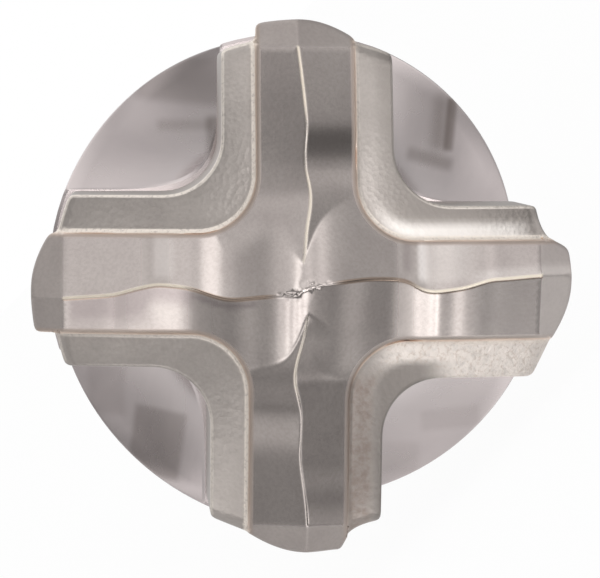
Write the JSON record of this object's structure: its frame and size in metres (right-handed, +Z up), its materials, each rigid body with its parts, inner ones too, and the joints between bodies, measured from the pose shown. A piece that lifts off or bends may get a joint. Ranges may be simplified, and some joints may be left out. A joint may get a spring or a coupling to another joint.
{
  "type": "hammer drill bit",
  "caption": "Hammer drill bit with a cross-shaped hard tip, spiral flutes and a grooved quick-change shank.",
  "frame": {"origin": "on the bit's axis, where the shank leaves its holder", "axes": "+X along the axis towards the point, +Z up with the bit lying on its side, two arms of the tip to each side of straight down"},
  "size_m": [0.16, 0.0152, 0.0152],
  "materials": {
    "sintered_carbide": "ground flanks, grainy sintered shoulders",
    "tool_steel": "blasted and lightly polished"
  },
  "bodies": {
    "root": {"carbide_head": "sintered_carbide", "drill_body": "tool_steel"}
  },
  "joints": []
}
